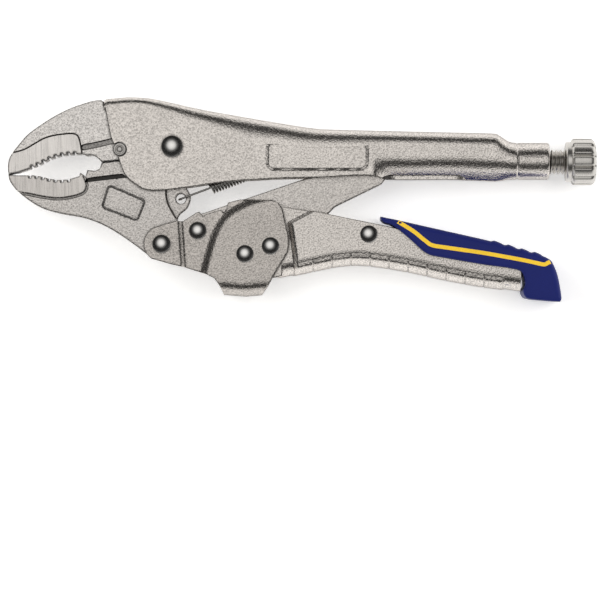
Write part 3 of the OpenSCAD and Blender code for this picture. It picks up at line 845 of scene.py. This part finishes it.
LINK_AT = pivot("link_swing")
link_outline = joined(
    arc(LINK_AT, 6.6, 109, 300, 30),
    [(19.5, -40.2), (24, -36.0), (35, -33.6), (60.5, -31.6), (66.8, -29.6), (70.4, -26.0), (90.5, -16.2)],
    arc((93.2, -6.9), 5.4, -84, 50, 16), [(93.0, -1.9), (89.6, -2.9)])


def link_front(p):
    boss = np.hypot(p[:, 0] - LINK_AT[0], p[:, 1] - LINK_AT[1])
    return LINK + (WAIST - LEVER_SHEET - 0.2 - LINK) * step_up((5.4 - boss) / 0.4)


build("toggle_link_plate", *pressed(
    link_outline, link_front, lines=[(arc(LINK_AT, 5.2, 0, 360, 40), 0.2)], step=2.0, rim=0.4),
    link_look, "toggle_link", "plate_steel", ["link"])


# ---------- rear handle ----------

lever_top = height_of(smooth([
    (44, -25.4), (47.4, -26.0), (55.2, -27.3), (63, -28.3), (68.2, -29.4), (76.9, -31.2), (92, -34.3),
    (110, -38.6), (130, -43.6), (152, -49.0)]))
lever_low = height_of(smooth([
    (44, -57.3), (46.5, -56.8), (55.2, -55.0), (63.9, -53.1), (72.6, -51.5), (81.2, -51.0), (89.9, -51.9),
    (98.6, -53.3), (107.3, -55.0), (116, -57.0), (124.6, -58.7), (133.3, -60.2), (142, -61.4), (152, -62.8)]))
BACK_R = 6.6
LEVER_JOG = [-57, -50, -36, -33, -30.7, -28.8, -27.5], [51.5, 53.5, 51.5, 50.8, 55.2, 59.0, 61.5]
LEVER_JOG_WIDTH = 3.0
PAD_FROM, PAD_TO, PAD_GROOVE, PAD_RISE = 51.5, 144.0, 8.2, 0.5
FIRST_GROOVE = 5.3


def lever_half(x, y):
    """The rear handle's half width: narrow between the bracket's cheeks, wide behind them."""
    share = (x - np.interp(y, *LEVER_JOG) + LEVER_JOG_WIDTH / 2) / LEVER_JOG_WIDTH
    return float(LEVER + (TAIL - LEVER) * step_up(share))


def pad_rise(x, turn):
    """The raised pad on the handle's back, with its cross grooves. turn runs from the side to the back."""
    ends = float(step_up((x - PAD_FROM) / 1.0) * step_up((PAD_TO - x) / 1.2))
    edge = float(step_up((turn - 0.24) / 0.07))
    far = abs((x - PAD_FROM - FIRST_GROOVE) % PAD_GROOVE - PAD_GROOVE / 2)
    groove = float(step_up((far - 0.12) / 0.3))
    return ends * edge * PAD_RISE * (0.45 + 0.55 * groove)


def lever_ring(x):
    top, low, t, r = float(lever_top(x)), float(lever_low(x)), LEVER_SHEET, BACK_R
    outer, inner = [], []
    for y in np.linspace(top - 0.35, low + r, 60):
        outer.append((y, lever_half(x, y)))
    base = lever_half(x, low + r)
    for a in np.linspace(0, math.pi / 2, 15)[1:]:
        rise = pad_rise(x, a / (math.pi / 2))
        outer.append((low + r - (r + rise) * math.sin(a), base - r + (r + rise) * math.cos(a)))
    for z in np.linspace(base - r, 0, 4)[1:]:
        outer.append((low - pad_rise(x, 1.0), z))
    for y in np.linspace(top - 0.35, low + r, 24):
        inner.append((y, lever_half(x, y) - t))
    for a in np.linspace(0, math.pi / 2, 7)[1:]:
        inner.append((low + r - (r - t) * math.sin(a), base - r + (r - t) * math.cos(a)))
    for z in np.linspace(base - r, 0, 3)[1:]:
        inner.append((low + t, z))
    h = lever_half(x, top)
    rim = [(top - 0.1, h - t + 0.1), (top, h - t + 0.35), (top, h - 0.35), (top - 0.1, h - 0.1)]
    half = np.vstack([inner[::-1], rim, outer])
    ring = np.vstack([half, (half * [1, -1])[::-1][1:-1]])
    return np.column_stack([np.full(len(ring), x), ring])


groove_xs = np.arange(PAD_FROM + FIRST_GROOVE + PAD_GROOVE / 2, PAD_TO, PAD_GROOVE)
lever_stations = np.unique(np.round(np.concatenate(
    [np.arange(45.5, 64, 0.4), np.arange(64, 151.3, 1.2), PAD_TO - np.arange(0, 1.4, 0.3)]
    + [x + np.array([-0.45, -0.3, -0.15, 0, 0.15, 0.3, 0.45]) for x in groove_xs]), 2))
RELEASE = pivot("release")
RELEASE_PIN = middle("release_pin")
front_plate = joined(
    [(47.5, -26.6), (40, -33), (30.5, -36.8)], arc(RELEASE_PIN, 3.2, 60, 225, 16),
    arc(RELEASE, 8.2, 215, 270, 12), [(36, -58.0), (46, -56.3), (47.5, -55.9)])
front_sides = pressed(
    front_plate, lambda p: np.full(len(p), LEVER), lambda p: np.full(len(p), LEVER - LEVER_SHEET),
    step=4.0, rim=0.3)
build("rear_handle_shell", *several(loft([lever_ring(x) for x in lever_stations]), front_sides),
      plate_look, "lever", "plate_steel", ["rear_handle"])


# ---------- grip ----------

RIBS = (137.6, 142.6), (143.8, 148.4), (149.6, 154.2), (155.2, 159.6)
RIB_RISE = 0.75


def shingled(line):
    """The grip's top edge with its four overlapping ribs."""
    out = []
    for x, y in evenly(line, 0.25):
        lift = 0.0
        for start, end in RIBS:
            if start <= x <= end:
                share = (x - start) / (end - start)
                lift = RIB_RISE * min(share / 0.25, 1) * (1 - share) ** 0.5
        out.append((x + lift * 0.22, y + lift * 0.97))
    return np.array(out)


grip_top = shingled(smooth([
    (90.0, -30.3), (98.6, -32.1), (116, -36.0), (133.3, -39.9), (142, -42.1), (150.7, -44.6), (158, -46.6),
    (162.0, -48.3), (164.1, -50.2), (166.3, -55.5), (167.6, -62.0), (168.0, -65.0)]))
grip_bottom = smooth([
    (167.6, -66.7), (166.6, -67.1), (160.0, -66.6), (153.9, -65.9), (151.9, -64.6), (151.2, -62.2),
    (152.2, -59.9), (151.6, -55.9), (149.8, -53.7), (144.2, -52.4), (133.3, -50.9), (116, -47.9),
    (111.6, -47.0), (108.6, -45.5), (105.1, -42.4), (100.8, -38.5), (96.4, -35.1), (94.3, -33.8),
    (91.7, -33.0), (90.2, -31.8)])
grip_outline = joined(grip_top, grip_bottom)
GRIP_TOP_R, GRIP_LOW_R = 2.6, 1.1


def grip_front(p):
    return (GRIP - rounding(nearest(p, grip_top)[0], GRIP_TOP_R)
            - rounding(nearest(p, grip_bottom)[0], GRIP_LOW_R))


build("grip_body_moulding", *pressed(
    grip_outline, grip_front, step=1.6, rim=0.35,
    insets=[0.2, 0.6, 1.2, 2.0, 3.1, 4.5, 6.0, 7.5]), blue_look, "lever", "grip_blue", ["grip_body"])

STRIPE_WIDTH = 1.75
stripe_line = smooth([
    (97.5, -32.5), (98.3, -33.1), (104.2, -36.8), (109.0, -40.7), (112.1, -42.7), (118.1, -43.7),
    (133.3, -45.9), (142, -47.4), (150.7, -49.0), (157.2, -50.4), (160.3, -51.0), (161.9, -50.3),
    (163.0, -49.8)])


def band(line, width):
    left = left_of(np.gradient(line, axis=0)) * width / 2
    return joined(line + left, (line - left)[::-1])


stripe = pressed(band(evenly(stripe_line, 0.6), STRIPE_WIDTH), lambda p: grip_front(p) + 0.06,
                 lambda p: grip_front(p) - 0.3, step=0.8, rim=0.08)
build("grip_stripe_inlay", *stripe, yellow_look, "lever", "stripe_yellow", ["grip_stripe"])


# ---------- rivets and pins ----------

def dome(rise, radius, seat):
    """The profile of a pressed rivet head: a short upright edge, then part of a ball."""
    cap = min(0.85 * rise, 0.27 * radius)
    edge = rise - cap
    ball = (radius ** 2 + cap ** 2) / (2 * cap)
    out = [(seat - 0.3, radius * 0.6), (seat, radius), (seat + edge - 0.15, radius)]
    for a in np.linspace(math.asin(min(radius / ball, 1)), 0, 14):
        out.append((seat + rise - ball + ball * math.cos(a), ball * math.sin(a)))
    return out


def rivet(node, body, seat):
    low, high = span(node)
    at, radius, rise = middle(node), (high.x - low.x) / 2, high.z - seat
    head = lathe(dome(rise, radius, seat), 64, at=at)
    shank = lathe([(-seat, radius * 0.7), (seat, radius * 0.7)], 48, at=at)
    build(node + "_heads", *several(head, mirrored(head), shank), rivet_look, body, "rivet_steel", [node],
          sharp=40)


rivet("main_rivet", "fixed_side", HEAD)
rivet("front_rivet", "bracket_side", NOSE)
rivet("link_rivet", "bracket_side", WAIST)
rivet("release_rivet", "bracket_side", CHEEK)
rivet("stop_rivet", "bracket_side", CHEEK)
rivet("grip_rivet", "lever", TAIL)

low, high = span("jaw_pin")
pin_r, pin_top = (high.x - low.x) / 2, high.z
boss = lathe([(0, pin_r), (pin_top - 0.4, pin_r), (pin_top - 0.1, pin_r - 0.15), (pin_top, pin_r - 0.4),
              (pin_top, pin_r * 0.72), (pin_top - 0.15, pin_r * 0.66), (pin_top - 0.5, pin_r * 0.62),
              (pin_top - 0.55, pin_r * 0.48), (pin_top - 0.2, pin_r * 0.42), (pin_top - 0.05, pin_r * 0.34),
              (pin_top, pin_r * 0.2), (pin_top, 0)], 56, at=PIN_AT)
build("jaw_pin_heads", *several(boss, mirrored(boss)), pin_look, "fixed_side", "dark_steel", ["jaw_pin"],
      sharp=40)


# ---------- return spring ----------

POST = middle("spring_post")
WIRE, COIL_R, COIL_PITCH = 0.45, 2.5, 1.35
HOOK_Z = 2.2
COIL_FROM, COIL_TO = 13.6, 46.0
RING_R = 1.95


def tube(path, radius, sides=10):
    """A round wire along a path."""
    p = np.array(path, float)
    way = np.gradient(p, axis=0)
    way /= np.linalg.norm(way, axis=1)[:, None]
    up = np.array([0.0, 0.0, 1.0])
    if abs(way[0] @ up) > 0.9:
        up = np.array([1.0, 0.0, 0.0])
    rings = []
    for k in range(len(p)):
        up = up - way[k] * (up @ way[k])
        up /= np.linalg.norm(up)
        out = np.cross(way[k], up)
        a = np.arange(sides) * 2 * math.pi / sides
        rings.append(p[k] + radius * (np.cos(a)[:, None] * up + np.sin(a)[:, None] * out))
    return loft(rings)


def spring_path():
    along = np.array([POST[0] - EYE[0], POST[1] - EYE[1], 0.0])
    reach = float(np.linalg.norm(along))
    along /= reach
    across = np.array([-along[1], along[0], 0.0])
    up = np.array([0.0, 0.0, 1.0])
    eye = np.array([EYE[0], EYE[1], 0.0])

    def at(s, side, high):
        return eye + along * s + across * side + up * high

    hook = [at(0.3, 0, -HOOK_Z - 0.2), at(-0.2, 0, -HOOK_Z), at(-0.7, 0, -1.4), at(-0.9, 0, 0),
            at(-0.7, 0, 1.4), at(0.0, 0, HOOK_Z), at(1.2, 0, HOOK_Z + 0.15), at(4, 0, HOOK_Z),
            at(9, 0, HOOK_Z), at(12.5, 0, COIL_R - 0.1)]
    turns = int((COIL_TO - COIL_FROM) / COIL_PITCH)
    coil = [at(COIL_FROM + COIL_PITCH * a / (2 * math.pi), COIL_R * math.sin(a), COIL_R * math.cos(a))
            for a in np.linspace(0, turns * 2 * math.pi, turns * 14 + 1)]
    tail = [at(COIL_TO + 0.9, 0, COIL_R - 0.5), at(COIL_TO + 2.5, 0, 1.2), at(reach - 2.6, 0, 0.4)]
    ring = [at(reach + RING_R * math.cos(a), RING_R * math.sin(a), 0.2)
            for a in np.radians(np.linspace(190, 490, 20))]
    return np.vstack([smooth(hook, 4)[:-1], coil, tail, ring])


spring = build("return_spring_coil", *tube(spring_path(), WIRE), wire_look, "fixed_side", "spring_steel",
               ["return_spring"], sharp=60, even=False)
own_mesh(spring)


# ---------- adjusting screw and knob ----------

ROOT_R = THREAD_R - 1.15


def thread():
    """A right-hand screw thread: the radius follows a wave that winds along the shank."""
    sides, per_turn = 72, 14
    xs = np.arange(SCREW_X, KNOB_X + 1.6, PITCH / per_turn)
    rings = []
    for x in xs:
        a = np.arange(sides) * 2 * math.pi / sides
        phase = ((x - SCREW_X) / PITCH + a / (2 * math.pi)) % 1.0
        ridge = np.clip(1.0 - np.abs(phase - 0.5) * 2.0, 0, 1)
        ridge = np.clip((ridge - 0.08) / 0.8, 0, 1)
        fade = float(np.clip((x - SCREW_X - 0.4) / 2.0, 0, 1) * np.clip((KNOB_X + 0.6 - x) / 1.2, 0, 1))
        start = float(np.clip((x - SCREW_X) / 1.4, 0, 1))
        r = (ROOT_R - 1.2 * (1 - start)) + (THREAD_R - ROOT_R) * ridge * fade
        rings.append(np.stack([np.full(sides, x), SCREW_Y + r * np.cos(a), r * np.sin(a)], 1))
    return loft(rings)


build("adjusting_screw_thread", *thread(), screw_look, "knob", "screw_steel", ["adjusting_screw"],
      sharp=50, even=False)

FLUTES = 12
HEX = 6.35 / 2
SOCKET = 5.2


def fluted(angle, length, radius):
    """Twelve narrow flutes between broad, faintly hollow lands."""
    share = (angle * FLUTES / (2 * math.pi)) % 1.0 - 0.5
    deep = np.exp(-(share / 0.11) ** 2)
    fade = float(step_up((length - KNOB_X - 2.2) / 0.8))
    return np.maximum(radius - deep * fade * (radius > KNOB_R - 2.0), 0.01)


def hexagon(angle, radius):
    """The key socket's outline as a radius, with the given radius across the flats."""
    turn = (angle + math.pi / 6) % (math.pi / 3) - math.pi / 6
    return radius / np.cos(turn)


def knob_shape():
    r, x0, x1 = KNOB_R, KNOB_X, KNOB_END
    body = [(x0, 4.3), (x0, 7.6), (x0 + 0.15, 8.2), (x0 + 0.5, 8.6), (x0 + 0.9, 8.75), (x0 + 2.2, 8.75),
            (x0 + 2.45, 8.8), (x0 + 2.6, r - 1.1), (x0 + 2.8, r - 0.6), (x0 + 3.1, r - 0.25), (x0 + 3.6, r)]
    body += [(x, r) for x in np.linspace(x0 + 4.2, x1 - 2.6, 6)]
    body += [(x1 - 1.9, r - 0.05), (x1 - 1.3, r - 0.3), (x1 - 0.7, r - 0.8), (x1 - 0.25, r - 1.5),
             (x1 - 0.05, r - 2.1), (x1, r - 2.6)]
    turns = FLUTES * 14
    a = np.arange(turns) * 2 * math.pi / turns

    def ring(x, radii):
        return np.stack([np.full(turns, x), SCREW_Y + radii * np.cos(a), radii * np.sin(a)], 1)

    rings = [ring(x, fluted(a, x, rad)) for x, rad in body]
    mouth = hexagon(a, HEX)
    rings += [ring(x1, mouth + 0.5), ring(x1 - 0.3, mouth), ring(x1 - SOCKET, mouth),
              ring(x1 - SOCKET - 0.8, mouth * 0.05)]
    return loft(rings)


build("screw_knob_fluted", *knob_shape(), screw_look, "knob", "screw_steel", ["screw_knob"], sharp=35)


# ---------- CAD nodes that stay ----------

for node, look in (("spring_post", pin_look), ("release_pin", pin_look), ("grip_core", blue_look)):
    kept = frame["nodes"][node].data.materials
    kept.clear()
    kept.append(look)


# ---------- studio ----------

LAMP_SIZE, LAMP_POWER, LAMP_COLOUR = 0.9, 6.0, (1.0, 0.985, 0.96)


def softbox(name, at):
    """A round soft lamp that points at the tool. The sky alone shows in the metal."""
    lamp = bpy.data.lights.new(name, "AREA")
    lamp.shape, lamp.size, lamp.energy, lamp.color = "DISK", LAMP_SIZE, LAMP_POWER, LAMP_COLOUR
    obj = placed(name, lamp)
    obj.location = at
    obj.rotation_euler = (-Vector(at)).to_track_quat("-Z", "Y").to_euler()
    obj.visible_glossy = False


REACH = 3.0
FLOOR_GLOW = 0.40
floor_mesh = bpy.data.meshes.new("studio_floor")
floor_mesh.from_pydata([(-REACH, -REACH, 0), (REACH, -REACH, 0), (REACH, REACH, 0), (-REACH, REACH, 0)], [],
                       [(0, 1, 2, 3)])
paper = Nodes("pale_paper")
weave = paper.noise(300.0, 4.0)
floor_mesh.materials.append(paper.finish(
    paper.ramp(weave, (0.3, (0.88, 0.88, 0.88)), (0.7, (0.9, 0.9, 0.9))), paper.scaled(weave, 0.85, 0.95),
    paper.bump(weave, 0.01)))
paper.shader.inputs["Emission Color"].default_value = (1.0, 1.0, 1.0, 1.0)
paper.shader.inputs["Emission Strength"].default_value = FLOOR_GLOW
placed("studio_floor", floor_mesh)

# The sky's brightness by the cosine of the angle from its leaning pole: a lit top, a dark band, a lit rim.
SKY_LEAN, SKY_SIDE = math.radians(9), math.radians(-5)
SKY_LEVELS = [(0.0, 1.2), (0.3, 0.9), (0.46, 0.04), (0.76, 0.012), (0.87, 0.16), (0.94, 0.74), (1.0, 1.1)]
world = bpy.data.worlds.new("studio")
bpy.context.scene.world = world
world.use_nodes = True
tree = world.node_tree
coords = tree.nodes.new("ShaderNodeTexCoord")
split = tree.nodes.new("ShaderNodeVectorMath")
split.operation = "DOT_PRODUCT"
sky = tree.nodes.new("ShaderNodeValToRGB")
tree.links.new(coords.outputs["Generated"], split.inputs[0])
split.inputs[1].default_value = Vector((math.sin(SKY_SIDE), math.sin(SKY_LEAN), 1.0)).normalized()
tree.links.new(split.outputs["Value"], sky.inputs["Fac"])
tree.links.new(sky.outputs["Color"], tree.nodes["Background"].inputs["Color"])
sky.color_ramp.elements[0].position = SKY_LEVELS[0][0]
sky.color_ramp.elements[1].position = SKY_LEVELS[-1][0]
for place, _ in SKY_LEVELS[1:-1]:
    sky.color_ramp.elements.new(place)
for element, (_, level) in zip(sky.color_ramp.elements, SKY_LEVELS):
    element.color = (level, level * 0.99, level * 0.97, 1.0)
tree.nodes["Background"].inputs["Strength"].default_value = 1.0
softbox("left_softbox", (-0.8, 0.2, 0.7))
softbox("right_softbox", (0.8, 0.2, 0.7))

PHOTO_WIDTH = 260.4
CAMERA_UP = 1.3
PHOTO_MIDDLE = (55.2, -66.3, 0)
look_at = put([PHOTO_MIDDLE])[0]
camera = bpy.data.cameras.new("camera")
camera.sensor_width = 36.0
camera.lens = camera.sensor_width * CAMERA_UP / (PHOTO_WIDTH * MM)
camera.clip_end = 10.0
eye = placed("camera", camera)
eye.location = (look_at[0], look_at[1], look_at[2] + CAMERA_UP)
bpy.context.scene.camera = eye
bpy.context.scene.view_settings.view_transform = "Standard"
